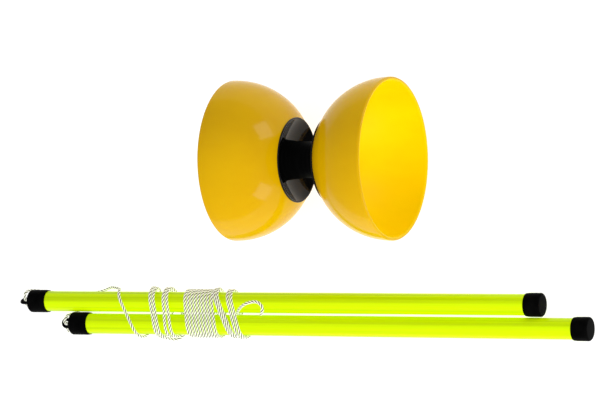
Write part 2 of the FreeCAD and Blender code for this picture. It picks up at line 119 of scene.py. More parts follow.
class Surface:
    """One procedural material while its nodes are laid."""

    def __init__(self, name: str, **constants: object) -> None:
        """Start a material.

        Args:
            name: The material's name.
            constants: Values for the shader's own sockets, with _ for each space.
        """
        self.material = bpy.data.materials.new(name)
        self.material.use_nodes = True
        self.tree = self.material.node_tree
        self.shader = self.tree.nodes["Principled BSDF"]
        for word, value in constants.items():
            label = word.replace("_", " ").title().replace("Ior", "IOR")
            self.shader.inputs[label].default_value = value

    def node(self, kind: str, settings: dict | None = None, sockets: dict | None = None,
             output: int | str = 0) -> Sock:
        """Add one node.

        Args:
            kind: The node's type.
            settings: Its properties, or the stops of a ramp under "stops", set before its sockets.
            sockets: Values or links by the socket's name or number.
            output: The name or number of the output that is wanted.

        Returns:
            That output.
        """
        made = self.tree.nodes.new(kind)
        for label, value in (settings or {}).items():
            if label == "stops":
                ramp = made.color_ramp
                while len(ramp.elements) < len(value):
                    ramp.elements.new(0.5)
                for stop, (position, colour) in zip(ramp.elements, value):
                    stop.position = position
                    stop.color = (*colour, 1.0)
            else:
                setattr(made, label, value)
        for label, value in (sockets or {}).items():
            self._set(made.inputs[label], value)
        return Sock(self, made.outputs[output])

    def _set(self, socket: bpy.types.NodeSocket, value: object) -> None:
        """Link or set one input.

        Args:
            socket: The input.
            value: A Sock to link, or a number, vector or colour to set.
        """
        if isinstance(value, Sock):
            self.tree.links.new(value.output, socket)
        elif socket.type == "RGBA" and len(value) == 3:
            socket.default_value = (*value, 1.0)
        else:
            socket.default_value = value

    def feed(self, label: str, value: object) -> None:
        """Link or set an input of the shader itself."""
        self._set(self.shader.inputs[label], value)

    def place(self, origin: Sequence[float] = (0, 0, 0),
              scale: Sequence[float] = (1, 1, 1)) -> Sock:
        """Position on the piece.

        Args:
            origin: The point that it is counted from.
            scale: What it is multiplied by along each axis.

        Returns:
            The position.
        """
        where = self.node("ShaderNodeTexCoord", output="Object")
        moved = self.node("ShaderNodeVectorMath", {"operation": "SUBTRACT"},
                          {0: where, 1: tuple(origin)})
        return self.node("ShaderNodeVectorMath", {"operation": "MULTIPLY"},
                         {0: moved, 1: tuple(scale)})

    def noise(self, where: Sock, scale: float, detail: float = 3.0, rough: float = 0.5) -> Sock:
        """Noise from 0 to 1 at a number of cells to the metre."""
        return self.node("ShaderNodeTexNoise", None,
                         {"Vector": where, "Scale": scale, "Detail": detail, "Roughness": rough})

    def along(self, where: Sock, axis: str) -> Sock:
        """One coordinate of a position."""
        return self.node("ShaderNodeSeparateXYZ", None, {0: where}, output=axis)

    def radius(self, where: Sock) -> Sock:
        """Distance from the X axis.

        Args:
            where: The position.

        Returns:
            The distance.
        """
        across = self.node("ShaderNodeVectorMath", {"operation": "MULTIPLY"},
                           {0: where, 1: (0.0, 1.0, 1.0)})
        return self.node("ShaderNodeVectorMath", {"operation": "LENGTH"}, {0: across},
                         output="Value")

    def mix(self, factor: Sock | float, low: object, high: object) -> Sock:
        """A colour from low at factor 0 to high at factor 1."""
        return self.node("ShaderNodeMix", {"data_type": "RGBA"},
                         {0: factor, 6: low, 7: high}, output=2)

    def bump(self, height: Sock, depth: float, strength: float = 1.0) -> None:
        """Raise the surface.

        Args:
            height: How far up each spot is, from 0 to 1.
            depth: The height of 1, in metres.
            strength: How much of it is used.
        """
        normal = self.node("ShaderNodeBump", None,
                           {"Height": height, "Distance": depth, "Strength": strength})
        self.feed("Normal", normal)


# ---------------------------------------------------------------- finishes

@dataclass(frozen=True)
class CupPlastic:
    """Glossy soft plastic of the cups: warm yellow with flow marks, painted brighter in the bowl, with
    a faint painted glow.
    """

    name: str
    axis_point: Place
    ball_x: float
    ball_out: float
    middle_radius: float
    outside: Colour = (0.57, 0.335, 0.0)
    outside_deep: Colour = (0.52, 0.29, 0.0)
    # The two bowl colours below are painted light: the same plastic as outside, made brighter for light
    # bouncing round the bowl.
    inside: Colour = (0.66, 0.465, 0.0)
    inside_deep: Colour = (0.62, 0.385, 0.0)
    # The glow colour is a painted glow: the faint orange that the outside emits by itself.
    glow: Colour = (0.10, 0.05, 0.0)
    skin_inside: float = 0.7 * MM
    skin_outside: float = 0.5 * MM
    flow_cells: float = 16.0
    fleck_cells: float = 900.0
    scuff_cells: float = 420.0
    coat: float = 0.15
    rough_inside: float = 0.4
    rough_outside: float = 0.14

    def material(self) -> bpy.types.Material:
        """Lay the skin that tells outside from inside, the painted bowl light, the painted glow, the
        flow marks and scuffs.

        Returns:
            The material.
        """
        # The emission strength gives the whole cup a painted glow, in place of light shining through
        # its wall.
        made = Surface(self.name, subsurface_weight=0.1, subsurface_radius=(0.9, 0.5, 0.0),
                       subsurface_scale=0.004, coat_roughness=0.03,
                       specular_ior_level=0.05, emission_strength=0.22)
        where = made.place(self.axis_point)
        along = abs(made.along(where, "X")) - self.ball_x
        off_ball = (along ** 2.0 + (made.radius(where) - self.ball_out) ** 2.0) ** 0.5
        outer = off_ball.step(self.middle_radius - self.skin_inside,
                              self.middle_radius + self.skin_outside)
        flow = made.noise(made.place(self.axis_point, (0.5, 1, 1)), self.flow_cells, 4.0, 0.6)
        fine = made.noise(where, self.fleck_cells, 2.0)
        cloud = flow.step(0.25, 0.75)
        # Painted light: the bowl's base colour is brighter than the outside's.
        made.feed("Base Color", made.mix(outer, made.mix(cloud, self.inside_deep, self.inside),
                                         made.mix(cloud, self.outside_deep, self.outside)))
        # Painted glow: the bowl emits its own bright yellow in place of light through the wall, the
        # outside a faint orange.
        made.feed("Emission Color", made.mix(outer, self.inside, self.glow))
        scuff = made.noise(made.place(self.axis_point, (1, 0.15, 0.15)), self.scuff_cells, 5.0, 0.7)
        worn = scuff.step(0.62, 0.8)
        made.feed("Coat Weight", outer * self.coat)
        polish = outer * (self.rough_inside - self.rough_outside)
        made.feed("Roughness", self.rough_inside - polish + flow * 0.06 + worn * 0.12)
        made.bump(flow * 0.6 + fine * 0.06 + worn * 0.1, 0.0003, 0.3)
        return made.material


@dataclass(frozen=True)
class HubGloss:
    """Polished black hub with faint turning rings and a hairline of dust."""

    name: str
    axis_point: Place
    black: Colour = (0.002, 0.002, 0.002)
    dusty: Colour = (0.03, 0.03, 0.03)
    ring_cells: float = 900.0
    smear_cells: float = 60.0
    dust_cells: float = 2600.0
    rough: float = 0.09

    def material(self) -> bpy.types.Material:
        """Lay the polish, its turning rings and the dust.

        Returns:
            The material.
        """
        made = Surface(self.name, coat_weight=0.3, coat_roughness=0.03, specular_ior_level=0.05)
        where = made.place(self.axis_point)
        span = made.radius(where)
        rings = made.node("ShaderNodeMath", {"operation": "SINE"},
                          {0: span * (self.ring_cells * math.tau)})
        smear = made.noise(where, self.smear_cells, 4.0, 0.6)
        dust = made.noise(where, self.dust_cells, 2.0).step(0.66, 0.78)
        made.feed("Base Color", made.mix(dust * 0.25, self.black, self.dusty))
        made.feed("Roughness", self.rough + smear * 0.1 + dust * 0.15)
        made.bump(rings * 0.5 + 0.5, 0.00002, 0.25)
        return made.material


@dataclass(frozen=True)
class DrumMatte:
    """Matt black drum, polished by the string round its waist."""

    name: str
    axis_point: Place
    waist: float = 6.0 * MM
    black: Colour = (0.0008, 0.0008, 0.0008)
    rubbed: Colour = (0.003, 0.003, 0.003)
    grain_cells: float = 2200.0
    track_cells: float = 1500.0
    rough: float = 0.4

    def material(self) -> bpy.types.Material:
        """Lay the grain and the tracks that the string leaves round the waist.

        Returns:
            The material.
        """
        made = Surface(self.name, specular_ior_level=0.02)
        where = made.place(self.axis_point)
        off_waist = abs(made.along(where, "X")).step(self.waist * 0.4, self.waist * 1.6)
        grain = made.noise(where, self.grain_cells, 3.0)
        round_waist = made.place(self.axis_point, (1, 0.02, 0.02))
        tracks = made.noise(round_waist, self.track_cells, 3.0, 0.7)
        made.feed("Base Color", made.mix(tracks.step(0.5, 0.75), self.black, self.rubbed))
        made.feed("Roughness", self.rough + off_waist * 0.22 + tracks * 0.1)
        made.bump(grain * 0.5 + tracks * 0.5, 0.00006, 0.4)
        return made.material


@dataclass(frozen=True)
class Steel:
    """Bare or plated steel: how bright, how rough and how brushed it is."""

    name: str
    tint: Colour
    shade: Colour
    rough: float
    brush: Place
    cloud_cells: float = 140.0
    line_cells: float = 1600.0

    def material(self) -> bpy.types.Material:
        """Lay the clouds of plating and the brushed lines.

        Returns:
            The material.
        """
        made = Surface(self.name, metallic=1.0)
        cloud = made.noise(made.place(), self.cloud_cells, 4.0, 0.6)
        lines = made.noise(made.place(scale=self.brush), self.line_cells, 3.0, 0.65)
        made.feed("Base Color", made.mix(cloud.step(0.3, 0.75), self.tint, self.shade))
        made.feed("Roughness", self.rough + lines * 0.14 + cloud * 0.05)
        made.bump(lines, 0.00003, 0.35)
        return made.material


@dataclass(frozen=True)
class NeonTube:
    """Fluorescent yellow-green extruded tube with drawing lines, lengthwise streaks of painted light
    and a faint painted glow.
    """

    name: str
    # The deep and lively tones are mostly the shaded and the lit bands of the painted streaks, partly
    # the real drawing lines.
    deep: Colour = (0.31, 0.44, 0.0)
    lively: Colour = (0.55, 0.755, 0.0)
    line_cells: float = 1300.0
    # The streak cells set the size of the painted light streaks.
    streak_cells: float = 260.0
    nick_cells: float = 700.0
    rough: float = 0.22

    def material(self) -> bpy.types.Material:
        """Lay the painted light streaks, the painted glow, the drawing lines and the nicks.

        Returns:
            The material.
        """
        # The emission strength gives the tube a painted glow, standing in for its fluorescence.
        made = Surface(self.name, emission_strength=0.12, specular_ior_level=0.06,
                       subsurface_weight=0.1, subsurface_radius=(0.5, 0.8, 0.0),
                       subsurface_scale=0.003, coat_weight=0.06, coat_roughness=0.12)
        drawn = made.noise(made.place(scale=(0.012, 1, 1)), self.line_cells, 3.0, 0.6)
        # Wide bands round the tube: painted reflections of strip lights, with painted shade between
        # them.
        painted_streak = made.noise(made.place(scale=(0.004, 1, 1)), self.streak_cells, 2.0, 0.5)
        nicks = made.noise(made.place(scale=(0.4, 1, 1)), self.nick_cells, 4.0, 0.7).step(0.68, 0.8)
        colour = made.mix(painted_streak.step(0.3, 0.62) * 0.75 + drawn * 0.25, self.deep, self.lively)
        made.feed("Base Color", colour)
        # Painted glow: the tube emits its own colour.
        made.feed("Emission Color", colour)
        made.feed("Roughness", self.rough + drawn * 0.12 + nicks * 0.15)
        made.bump(drawn * 0.5 + painted_streak * 0.4 + nicks * 0.1, 0.00008, 0.5)
        return made.material


@dataclass(frozen=True)
class CapPlastic:
    """Black moulded plastic with a fine spark-eroded grain and rubbed edges."""

    name: str
    black: Colour = (0.001, 0.001, 0.001)
    rubbed: Colour = (0.0025, 0.0025, 0.0025)
    grain_cells: float = 2400.0
    cloud_cells: float = 90.0
    rough: float = 0.3

    def material(self) -> bpy.types.Material:
        """Lay the grain and the rubbed patches.

        Returns:
            The material.
        """
        made = Surface(self.name, specular_ior_level=0.3, ior=1.06)
        where = made.place()
        grain = made.noise(where, self.grain_cells, 3.0)
        cloud = made.noise(where, self.cloud_cells, 4.0, 0.6)
        made.feed("Base Color", made.mix(cloud.step(0.35, 0.7), self.black, self.rubbed))
        made.feed("Roughness", self.rough + grain * 0.12 + cloud * 0.12)
        made.bump(grain, 0.00004, 0.5)
        return made.material


@dataclass(frozen=True)
class StringFibre:
    """White synthetic yarn: fine fibres, with painted shade in the grooves between its strands."""

    name: str
    clean: Colour = (0.95, 0.95, 0.84)
    handled: Colour = (0.78, 0.78, 0.62)
    # The groove colour is painted shade between the strands, tinted olive as painted bounce light from
    # the neon tubes.
    groove: Colour = (0.06, 0.075, 0.01)
    fibre_cells: float = 5200.0
    soil_cells: float = 55.0
    rough: float = 0.66

    def material(self) -> bpy.types.Material:
        """Lay the fibres, the soil and the painted shade of the grooves.

        Returns:
            The material.
        """
        made = Surface(self.name, sheen_weight=0.15, sheen_roughness=0.4, specular_ior_level=0.25)
        where = made.place()
        fibres = made.noise(where, self.fibre_cells, 2.0, 0.7)
        soil = made.noise(where, self.soil_cells, 4.0, 0.6)
        # The attribute read here tells how deep each point lies between the strands and masks the
        # painted shade.
        depth = made.node("ShaderNodeAttribute", {"attribute_name": "groove"}, output="Fac")
        wear = soil.step(0.45, 0.8) * 0.5 + fibres.step(0.55, 0.8) * 0.4
        yarn = made.mix(wear, self.clean, self.handled)
        # Painted shade: the yarn darkens to the groove colour deep between the strands.
        made.feed("Base Color", made.mix(depth, yarn, self.groove))
        made.feed("Roughness", self.rough + fibres * 0.2)
        made.bump(fibres, 0.00012, 0.6)
        return made.material


@dataclass(frozen=True)
class StudioFloor:
    """Pale matt paper that the set lies on."""

    name: str = "studio_paper"
    shade: Colour = (0.93, 0.93, 0.93)
    white: Colour = (0.95, 0.95, 0.95)
    cloud_cells: float = 3.0

    def material(self) -> bpy.types.Material:
        """Lay the faint clouds of the paper.

        Returns:
            The material.
        """
        made = Surface(self.name, roughness=0.85, specular_ior_level=0.15, emission_strength=0.12,
                       emission_color=(1.0, 1.0, 1.0, 1.0))
        cloud = made.noise(made.place(), self.cloud_cells, 3.0)
        made.feed("Base Color", made.mix(cloud, self.shade, self.white))
        return made.material


# ---------------------------------------------------------------- mesh building

class Facing(Enum):
    """Which way along X a turned piece points."""

    RIGHT = 1.0
    LEFT = -1.0


def new_piece(name: str, mesh: bpy.types.Mesh, sharp: float = 32.0) -> bpy.types.Object:
    """Link a mesh as a smooth-shaded object.

    Args:
        name: The piece's name.
        mesh: Its finished mesh.
        sharp: Edges that turn by more than this many degrees stay sharp.

    Returns:
        The object.
    """
    mesh.shade_smooth()
    mesh.set_sharp_from_angle(angle=math.radians(sharp))
    made = bpy.data.objects.new(name, mesh)
    bpy.context.scene.collection.objects.link(made)
    return made


def solid_mesh(name: str, points: Sequence[Sequence[float]],
               faces: Sequence[Sequence[int]]) -> bpy.types.Mesh:
    """A closed mesh with its faces turned outward.

    Args:
        name: The mesh's name.
        points: Its points.
        faces: The numbers of each face's points.

    Returns:
        The mesh.
    """
    mesh = bpy.data.meshes.new(name)
    mesh.from_pydata([tuple(point) for point in points], [], [tuple(face) for face in faces])
    shell = bmesh.new()
    shell.from_mesh(mesh)
    bmesh.ops.recalc_face_normals(shell, faces=shell.faces)
    shell.to_mesh(mesh)
    shell.free()
    mesh.validate()
    return mesh


def arc(centre: tuple[float, float], radius: float, start: float, end: float,
        steps: int) -> Outline:
    """Points on an arc in an outline.

    Args:
        centre: Along and radius of its centre.
        radius: Its own radius.
        start: The angle of its first point, in radians.
        end: The angle of its last point.
        steps: The number of its points, less one.

    Returns:
        The points.
    """
    return [(centre[0] + radius * math.cos(start + (end - start) * step / steps),
             centre[1] + radius * math.sin(start + (end - start) * step / steps))
            for step in range(steps + 1)]


def softened(corners: Sequence[Place], steps: int = 5) -> Outline:
    """An outline whose corners are rounded.

    Args:
        corners: Along and radius of each corner in metres, and its rounding in millimetres, with 0
            for one that stays as it is.
        steps: Points on each rounding, less one.

    Returns:
        The closed outline's points.
    """
    line: Outline = []
    count = len(corners)
    edge_share = 0.45
    for number, (along, out, rounding_mm) in enumerate(corners):
        rounding = rounding_mm * MM
        here = Vector((along, out))
        to_last = Vector(corners[number - 1][:2]) - here
        to_next = Vector(corners[(number + 1) % count][:2]) - here
        if rounding <= 0 or to_last.length == 0 or to_next.length == 0:
            line.append((along, out))
            continue
        reach = min(rounding, edge_share * to_last.length, edge_share * to_next.length)
        first = here + to_last.normalized() * reach
        last = here + to_next.normalized() * reach
        for step in range(steps + 1):
            part = step / steps
            spot = first * (1 - part) ** 2 + here * 2 * part * (1 - part) + last * part ** 2
            line.append((spot.x, spot.y))
    return line


def turned(name: str, line: Outline, centre: Sequence[float], facing: Facing = Facing.RIGHT,
           segments: int = 160) -> bpy.types.Object:
    """A piece turned about an axis along X.

    Args:
        name: The piece's name.
        line: Its closed outline, in pairs of along and radius; a radius of 0 is on the axis.
        centre: The point that the outline's along is counted from.
        facing: Which way along X the outline's along runs.
        segments: Facets round the axis.

    Returns:
        The object.
    """
    points: Route = []
    rings: list[list[int]] = []
    for along, out in line:
        x = centre[0] + along * facing.value
        if out <= 1e-9:
            rings.append([len(points)] * segments)
            points.append((x, centre[1], centre[2]))
            continue
        rings.append(list(range(len(points), len(points) + segments)))
        for turn in (math.tau * step / segments for step in range(segments)):
            points.append((x, centre[1] + out * math.cos(turn), centre[2] + out * math.sin(turn)))
    faces: list[list[int]] = []
    for near, far in zip(rings, rings[1:] + rings[:1]):
        for step in range(segments):
            after = (step + 1) % segments
            face = list(dict.fromkeys((near[step], near[after], far[after], far[step])))
            if len(face) > 2:
                faces.append(face)
    return new_piece(name, solid_mesh(name, points, faces))


@dataclass
class Rail:
    """A line through space with a frame at each point that doesn't twist along it."""

    points: list[Vector]
    sides: list[Vector] = field(default_factory=list)
    ups: list[Vector] = field(default_factory=list)

    def __post_init__(self) -> None:
        """Carry one side vector along the line."""
        last = len(self.points) - 1
        ways = [(self.points[min(i + 1, last)] - self.points[max(i - 1, 0)]).normalized()
                for i in range(last + 1)]
        side = ways[0].orthogonal().normalized()
        for way in ways:
            side = (side - way * side.dot(way)).normalized()
            self.sides.append(side.copy())
            self.ups.append(way.cross(side))

    def ring(self, number: int, turn: float, out: float) -> Vector:
        """The point beside point number, at an angle round the line and a distance out."""
        return (self.points[number] + self.sides[number] * (math.cos(turn) * out)
                + self.ups[number] * (math.sin(turn) * out))


def tube_parts(line: list[Vector], size: Callable[[int], float], sides: int,
               start: int) -> tuple[list[Vector], list[list[int]]]:
    """Points and faces of one closed round tube along a line.

    Args:
        line: The points that it follows.
        size: Its radius at each point's number.
        sides: Facets round it.
        start: The number that its first point has in the mesh.

    Returns:
        Its points and its faces.
    """
    rail = Rail(line)
    points = [rail.ring(number, math.tau * step / sides, size(number))
              for number in range(len(line)) for step in range(sides)]
    faces = [[start + row * sides + step, start + row * sides + (step + 1) % sides,
              start + (row + 1) * sides + (step + 1) % sides, start + (row + 1) * sides + step]
             for row in range(len(line) - 1) for step in range(sides)]
    faces.append([start + step for step in range(sides)])
    faces.append([start + (len(line) - 1) * sides + step for step in range(sides)])
    return points, faces


def even(line: list[Vector], gap: float) -> list[Vector]:
    """The same line with its points a fixed distance apart.

    Args:
        line: The line's points.
        gap: The distance, in metres.

    Returns:
        The new points.
    """
    spaced = [line[0].copy()]
    left = gap
    for first, last in zip(line, line[1:]):
        run = (last - first).length
        done = 0.0
        while run - done >= left and run > 0:
            done += left
            spaced.append(first.lerp(last, done / run))
            left = gap
        left -= run - done
    return spaced


def length_of(line: list[Vector]) -> float:
    """Length of a line of points."""
    return sum((last - first).length for first, last in zip(line, line[1:]))


def smooth_line(route: Sequence[Sequence[float]]) -> list[Vector]:
    """Points along the smooth spline whose control points are a route's.

    Args:
        route: The route's points, in metres.

    Returns:
        The spline's own points.
    """
    curve = bpy.data.curves.new("route", "CURVE")
    curve.dimensions = "3D"
    curve.resolution_u = 8
    spline = curve.splines.new("NURBS")
    spline.points.add(len(route) - 1)
    for point, place in zip(spline.points, route):
        point.co = (*place, 1.0)
    spline.order_u = 3
    spline.use_endpoint_u = True
    carrier = bpy.data.objects.new("route", curve)
    bpy.context.scene.collection.objects.link(carrier)
    mesh = bpy.data.meshes.new_from_object(carrier)
    line = [vertex.co.copy() for vertex in mesh.vertices]
    bpy.data.objects.remove(carrier)
    bpy.data.curves.remove(curve)
    bpy.data.meshes.remove(mesh)
    return line


@dataclass(frozen=True)
class Twist:
    """How a cord is laid up: its strands, their pitch and how hard they press on each other."""

    diameter: float
    strands: int = 3
    pitch: float = 0.0087
    sides: int = 10
    gap: float = 0.0006
    press: float = 1.04
    end_press: float = 0.55
    # These two set where the painted shade between the strands starts and how fast it deepens.
    groove_top: float = 0.472
    groove_deep: float = 0.06

    def laid(self, name: str, line: list[Vector]) -> bpy.types.Object:
        """The cord's strands along a line, as one piece.

        Args:
            name: The piece's name.
            line: The cord's centre line.

        Returns:
            The object.
        """
        rail = Rail(even(line, self.gap))
        share = math.sin(math.pi / self.strands)
        strand = self.diameter / 2 * share / (1 + share)
        offset = self.diameter / 2 - strand
        grooves: list[float] = []
        points: list[Vector] = []
        faces: list[list[int]] = []
        for number in range(self.strands):
            phase = number / self.strands
            path = [rail.ring(i, math.tau * (i * self.gap / self.pitch + phase), offset)
                    for i in range(len(rail.points))]
            last = len(path) - 1
            some, more = tube_parts(
                path, lambda i: strand * (self.end_press if i in (0, last) else self.press),
                self.sides, len(points))
            # How deep each point lies between the strands, stored for the painted shade of the string's
            # finish.
            for count, point in enumerate(some):
                out = (point - rail.points[count // self.sides]).length / self.diameter
                grooves.append(min(1.0, max(0.0, (self.groove_top - out) / self.groove_deep)))
            points += some
            faces += more
        mesh = solid_mesh(name, points, faces)
        mesh.attributes.new("groove", "FLOAT", "POINT").data.foreach_set("value", grooves)
        return new_piece(name, mesh, 60.0)


def middle(node: str) -> Vector:
    """Centre of a CAD node's box."""
    low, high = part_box(node)
    return (Vector(low) + Vector(high)) / 2


def dress(piece: bpy.types.Object, finish: bpy.types.Material, body: str,
          nodes: Iterable[str] = ()) -> bpy.types.Object:
    """Give a piece its finish and its place in the model.

    Args:
        piece: The piece.
        finish: Its material.
        body: The body that it rides on.
        nodes: The CAD nodes that it stands for.

    Returns:
        The piece.
    """
    piece.data.materials.clear()
    piece.data.materials.append(finish)
    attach(piece, body)
    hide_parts(*nodes)
    log.info("%s on %s: %d faces", piece.name, body, len(piece.data.polygons))
    return piece


def finish_nodes(nodes: Iterable[str], finish: bpy.types.Material) -> None:
    """Give CAD nodes that stay a better finish.

    Args:
        nodes: Their names.
        finish: The material.
    """
    for node in nodes:
        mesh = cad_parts[node].data
        mesh.materials.clear()
        mesh.materials.append(finish)
        log.info("%s keeps its CAD shape", node)


# ---------------------------------------------------------------- spool

@dataclass
class Spool:
    """The two cups on their hubs, clamped on the axle by plates and nuts, with the drum between."""

    body: str = "spool"
    drum_body: str = "drum"
    wall: float = 2.8 * MM
    curve: float = 55.3 * MM
    cup_end: float = 13.6 * MM
    cup_end_rim: float = 28.4 * MM
    floor_back: float = 23.3 * MM
    floor_back_rad: float = 17.0 * MM
    floor_front: float = 25.7 * MM
    floor_rim: float = 17.8 * MM
    bowl_foot: float = 18.0 * MM
    bowl_foot_rad: float = 28.6 * MM
    hub_face: float = 20.3 * MM
    hub_face_rad: float = 14.6 * MM
    hub_dish: float = 40.0 * MM
    hub_lip_thick: float = 1.0 * MM
    hub_boss_step: float = 1.2 * MM
    plate_thick: float = 1.5 * MM
    nut_face_share: float = 0.97
    nut_chamfer: float = math.radians(30)
    nut_mouth: float = 0.8 * MM
    nut_mouth_deep: float = 0.5 * MM
    thread_rings: int = 5
    thread_pitch: float = 1.25 * MM
    thread_deep: float = 0.5 * MM
    thread_start: float = 0.9 * MM
    crest_ease: float = 0.1 * MM
    tip_drop: float = 1.2 * MM
    tip_long: float = 0.6 * MM
    tip_ease: float = 0.35 * MM
    drum_curve: float = 134.0 * MM
    bearing_seat: float = 11.0 * MM
    seat_start: float = 9.0 * MM
    drum_shoulder: float = 9.6 * MM

    def __post_init__(self) -> None:
        """Read the driving sizes from the frame."""
        self.centre = middle("axle_drum")
        low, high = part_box("right_cup")
        self.rim = high[0] - self.centre.x
        self.cup_radius = (high[2] - low[2]) / 2
        low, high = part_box("axle")
        self.axle_half = (high[0] - low[0]) / 2
        self.axle_radius = (high[2] - low[2]) / 2
        low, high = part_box("right_hub")
        self.hub_lip = low[0] - self.centre.x
        self.hub_radius = (high[2] - low[2]) / 2
        point = tuple(self.centre)
        half = self.wall / 2
        self.plastic = CupPlastic("cup_yellow", point, self.rim - half, self.cup_radius - self.curve,
                                  self.curve - half).material()
        self.gloss = HubGloss("hub_black_gloss", point).material()
        self.matte = DrumMatte("drum_black_matte", point).material()
        self.zinc = Steel("zinc_plate", (0.66, 0.65, 0.6), (0.5, 0.49, 0.44), 0.24,
                          (1, 1, 1)).material()

    def build(self) -> None:
        """Build every piece of the spool that is seen or touched."""
        for side, facing in (("left", Facing.LEFT), ("right", Facing.RIGHT)):
            self.cup(side, facing)
            self.hub(side, facing)
            self.plate(side, facing)
            self.nut(side, facing)
        self.axle()
        self.drum()

    def cup(self, side: str, facing: Facing) -> None:
        """One bowl with a rounded rim and a floor that follows its hub.

        Args:
            side: The side's name.
            facing: Which way its outer face points.
        """
        half = self.wall / 2
        rim_x = self.rim - half
        hollow = self.curve - self.wall
        low = self.cup_radius - self.curve
        outer_end = math.acos(-(rim_x - self.cup_end) / self.curve)
        inner_end = math.acos(-(rim_x - self.bowl_foot) / hollow)
        line = arc((rim_x, low), self.curve, outer_end, math.pi / 2, 72)
        line += arc((rim_x, self.cup_radius - half), half, math.pi / 2, -math.pi / 2, 12)[1:]
        line += arc((rim_x, low), hollow, math.pi / 2, inner_end, 72)[1:]
        foot = softened([(self.bowl_foot, line[-1][1], 2.4),
                         (self.bowl_foot, self.bowl_foot_rad, 2.4),
                         (self.floor_front, self.floor_rim, 1.6),
                         (self.floor_front, self.axle_radius, 0.3),
                         (self.floor_back, self.axle_radius, 0.0),
                         (self.floor_back, self.floor_back_rad, 0.5),
                         (self.cup_end, self.cup_end_rim, 0.0)])
        line = line[:-1] + foot
        dress(turned(f"{side}_cup_bowl", line, self.centre, facing, 224), self.plastic, self.body,
              [f"{side}_cup"])

    def hub(self, side: str, facing: Facing) -> None:
        """One dished flange with a thin rolled lip.

        Args:
            side: The side's name.
            facing: Which way its outer face points.
        """
        start = Vector((self.hub_face, self.hub_face_rad))
        end = Vector((self.hub_lip, self.hub_radius - self.hub_lip_thick))
        way = (end - start) / 2
        rise = math.sqrt(self.hub_dish ** 2 - way.length_squared)
        spin = start + way + Vector((-way.y, way.x)).normalized() * rise
        first, last = (math.atan2(p.y - spin.y, p.x - spin.x) for p in (start, end))
        dish = arc((spin.x, spin.y), self.hub_dish, first, last, 20)
        corners = [(self.hub_face, self.axle_radius, 0.2),
                   (self.hub_face, self.hub_face_rad - self.hub_boss_step, 0.8)]
        corners += [(x, out, 0.0) for x, out in dish[1:-1]]
        corners += [(self.hub_lip, self.hub_radius - self.hub_lip_thick, 0.35),
                    (self.hub_lip, self.hub_radius, 0.45),
                    (self.cup_end, self.hub_radius, 0.3),
                    (self.cup_end, self.cup_end_rim, 0.0),
                    (self.floor_back, self.floor_back_rad, 0.4),
                    (self.floor_back, self.axle_radius, 0.0)]
        dress(turned(f"{side}_hub_flange", softened(corners), self.centre, facing, 192), self.gloss,
              self.body, [f"{side}_hub"])

    def plate(self, side: str, facing: Facing) -> None:
        """One clamp plate with eased edges.

        Args:
            side: The side's name.
            facing: Which way its outer face points.
        """
        low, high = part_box(f"{side}_clamp_plate")
        out = (high[2] - low[2]) / 2
        far = self.floor_front + self.plate_thick
        line = softened([(self.floor_front, self.axle_radius, 0.1), (self.floor_front, out, 0.3),
                         (far, out, 0.5), (far, self.axle_radius, 0.2)])
        dress(turned(f"{side}_clamp_washer", line, self.centre, facing, 128), self.zinc, self.body,
              [f"{side}_clamp_plate"])

    def nut(self, side: str, facing: Facing) -> None:
        """One hexagon nut: flats, scalloped corner chamfer, and a bore with its thread mouth.

        Args:
            side: The side's name.
            facing: Which way its outer face points.
        """
        low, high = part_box(f"{side}_lock_nut")
        flat = min(high[1] - low[1], high[2] - low[2]) / 2
        near = self.floor_front + self.plate_thick
        far = near + (high[0] - low[0])
        steps = 96
        twelfth = math.pi / 6
        turns = [math.tau * step / steps for step in range(steps)]
        edge = [flat / math.cos((turn + twelfth) % (2 * twelfth) - twelfth) for turn in turns]
        face = flat * self.nut_face_share
        drop = [(out - face) * math.tan(self.nut_chamfer) for out in edge]
        bore = self.axle_radius
        loops = [
            [(near, bore)] * steps,
            [(near, face)] * steps,
            [(near + fall / 2, out) for fall, out in zip(drop, edge)],
            [(far - fall, out) for fall, out in zip(drop, edge)],
            [(far, face)] * steps,
            [(far, bore + self.nut_mouth)] * steps,
            [(far - self.nut_mouth_deep, bore)] * steps,
        ]
        points = [(self.centre.x + along * facing.value, self.centre.y + out * math.cos(turn),
                   self.centre.z + out * math.sin(turn))
                  for loop in loops for (along, out), turn in zip(loop, turns)]
        faces = [[row * steps + step, row * steps + (step + 1) % steps,
                  (row + 1) % len(loops) * steps + (step + 1) % steps,
                  (row + 1) % len(loops) * steps + step]
                 for row in range(len(loops)) for step in range(steps)]
        name = f"{side}_hexagon_nut"
        dress(new_piece(name, solid_mesh(name, points, faces), 20.0), self.zinc, self.body,
              [f"{side}_lock_nut"])

    def axle(self) -> None:
        """The rod with its thread rings at both ends."""
        out = self.axle_radius
        half = self.axle_half
        line: Outline = [(-half, 0.0)]
        ends: list[Outline] = []
        for sign in (-1.0, 1.0):
            end: Outline = [(sign * half, out - self.tip_drop),
                            (sign * (half - self.tip_long), out - self.tip_ease)]
            for number in range(self.thread_rings):
                crest = half - self.thread_start - number * self.thread_pitch
                end += [(sign * (crest - self.crest_ease), out),
                        (sign * (crest - self.thread_pitch / 2), out - self.thread_deep),
                        (sign * (crest - self.thread_pitch * 0.9), out)]
            ends.append(end)
        line += ends[0] + ends[1][::-1] + [(half, 0.0)]
        dress(turned("threaded_axle", line, self.centre, Facing.RIGHT, 96), self.zinc, self.body,
              ["axle"])

